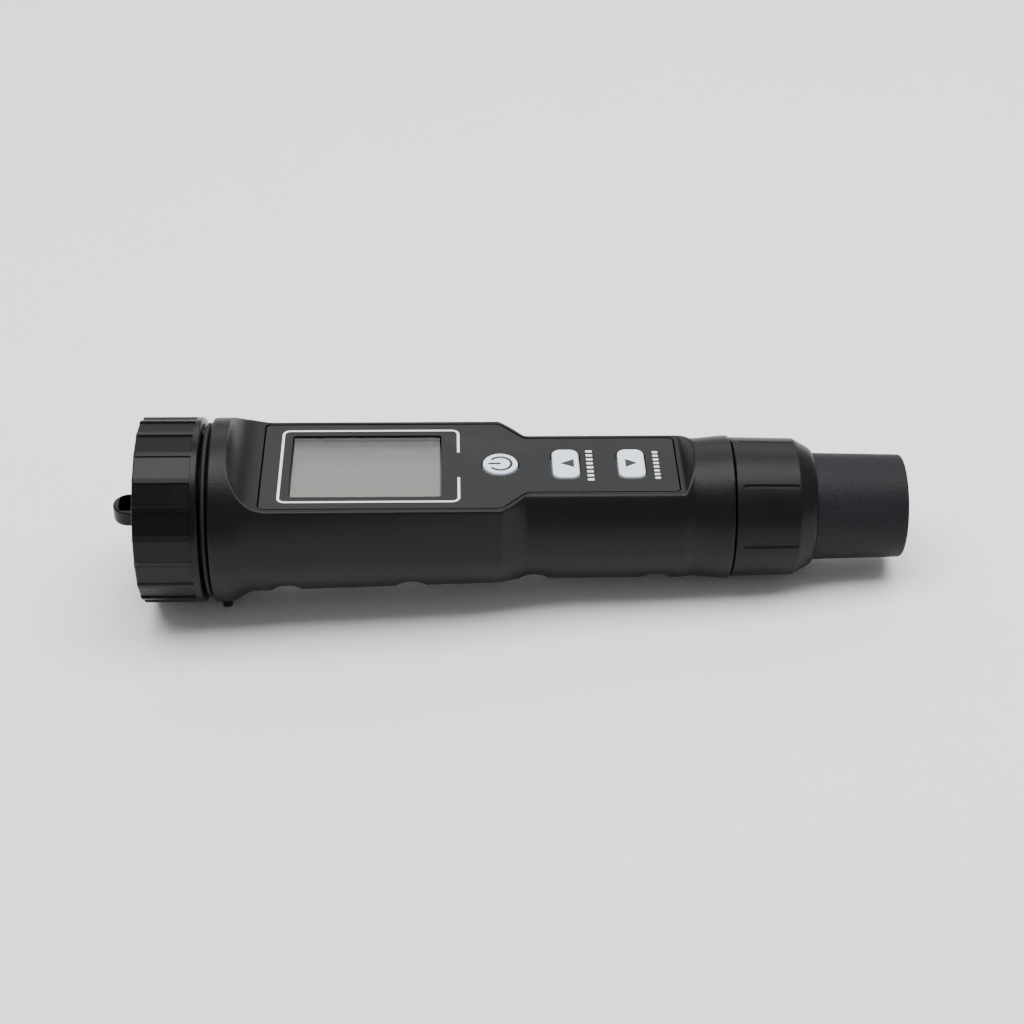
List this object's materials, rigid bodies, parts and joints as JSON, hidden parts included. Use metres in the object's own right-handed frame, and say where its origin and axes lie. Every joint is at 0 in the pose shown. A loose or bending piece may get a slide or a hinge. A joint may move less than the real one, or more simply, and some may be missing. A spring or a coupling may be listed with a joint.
{
  "type": "pen water tester",
  "caption": "Pen-shaped water quality tester with a display, keys, a screw battery cap with a lanyard eye, a locking collar and a pull-off probe cap.",
  "frame": {"origin": "middle of the probe cap's flat end, on the pen's long axis", "axes": "+X along the pen and out of the probe cap's end, so the battery cap is at -X; +Z out of the display face; +Y across the pen"},
  "size_m": [0.1732, 0.0406, 0.0416],
  "materials": {
    "housing_black": "black ABS with a fine moulded grain, satin",
    "cap_black": "black ABS, finely grained, polished on the ribs by handling",
    "collar_black": "black ABS, smooth satin",
    "probe_cap_black": "black plastic with a spark-eroded texture",
    "panel_grey": "dark grey hard-coated front panel with white print",
    "key_white": "bluish white silicone-feel keys with dark symbols",
    "clear_lens": "clear acrylic display window",
    "lcd_grey": "blank reflective liquid crystal cell, grey-green",
    "seal_rubber": "black nitrile rubber",
    "inner_plastic": "dark moulded inner parts",
    "reflector_white": "white reflector sheet",
    "board_green": "green solder mask on glass-fibre board",
    "chip_black": "moulded epoxy packages",
    "contact_steel": "nickel-plated spring steel",
    "cell_steel": "nickel-plated coin cell cans",
    "bulb_glass": "thin clear glass bulb",
    "storage_foam": "open-cell storage sponge, damp",
    "probe_plastic": "dark moulded probe body"
  },
  "bodies": {
    "housing": {"main_housing": "housing_black", "foot_near": "seal_rubber", "foot_far": "seal_rubber", "battery_carrier": "inner_plastic", "coin_cell_1": "cell_steel", "coin_cell_2": "cell_steel", "coin_cell_3": "cell_steel", "coin_cell_4": "cell_steel", "battery_spring": "contact_steel", "bay_contact": "contact_steel", "front_panel": "panel_grey", "display_lens": "clear_lens", "lcd_glass": "lcd_grey", "lcd_frame": "inner_plastic", "lcd_reflector": "reflector_white", "contact_strip_near": "seal_rubber", "contact_strip_far": "seal_rubber", "keypad_mat": "seal_rubber", "switch_power": "contact_steel", "switch_hold": "contact_steel", "switch_mode": "contact_steel", "main_board": "board_green", "board_cradle": "inner_plastic", "board_screw_rear": "contact_steel", "board_screw_front": "contact_steel", "processor_chip": "chip_black", "amplifier_chip": "chip_black", "buzzer": "chip_black", "probe_socket": "inner_plastic", "probe_plug": "probe_plastic", "probe_body": "probe_plastic", "glass_bulb": "bulb_glass", "temperature_pin": "contact_steel", "probe_seal_rear": "seal_rubber", "probe_seal_front": "seal_rubber", "probe_gasket": "seal_rubber"},
    "cap_slip": {"battery_cap_seal": "seal_rubber"},
    "cap": {"battery_cap": "cap_black", "cap_contact": "contact_steel"},
    "collar_slip": {"collar_washer": "inner_plastic"},
    "collar": {"probe_collar": "collar_black"},
    "probe_cover": {"probe_cap": "probe_cap_black", "storage_sponge": "storage_foam"},
    "power_button": {"power_key": "key_white"},
    "hold_button": {"hold_key": "key_white"},
    "mode_button": {"mode_key": "key_white"}
  },
  "joints": [
    {"name": "cap_lift", "type": "slide", "parent": "housing", "child": "cap_slip", "axis": [-1, 0, 0], "range_m": [0, 0.0076]},
    {"name": "cap_turn", "type": "hinge", "parent": "cap_slip", "child": "cap", "pos_m": [-0.16, 0, 0], "axis": [-1, 0, 0], "range_deg": [0, 900]},
    {"name": "collar_lift", "type": "slide", "parent": "housing", "child": "collar_slip", "axis": [1, 0, 0], "range_m": [0, 0.0061]},
    {"name": "collar_turn", "type": "hinge", "parent": "collar_slip", "child": "collar", "pos_m": [-0.03, 0, 0], "axis": [1, 0, 0], "range_deg": [0, 720]},
    {"name": "probe_cap_pull", "type": "slide", "parent": "housing", "child": "probe_cover", "axis": [1, 0, 0], "range_m": [0, 0.03]},
    {"name": "power_press", "type": "slide", "parent": "housing", "child": "power_button", "axis": [0, 0, -1], "range_m": [0, 0.0004], "stiffness_N_per_m": 1500},
    {"name": "hold_press", "type": "slide", "parent": "housing", "child": "hold_button", "axis": [0, 0, -1], "range_m": [0, 0.0004], "stiffness_N_per_m": 1500},
    {"name": "mode_press", "type": "slide", "parent": "housing", "child": "mode_button", "axis": [0, 0, -1], "range_m": [0, 0.0004], "stiffness_N_per_m": 1500}
  ],
  "couplings": [
    {"joint": "cap_lift", "follows": "cap_turn", "m_per_rad": 0.00047746},
    {"joint": "collar_lift", "follows": "collar_turn", "m_per_rad": 0.00047746}
  ]
}
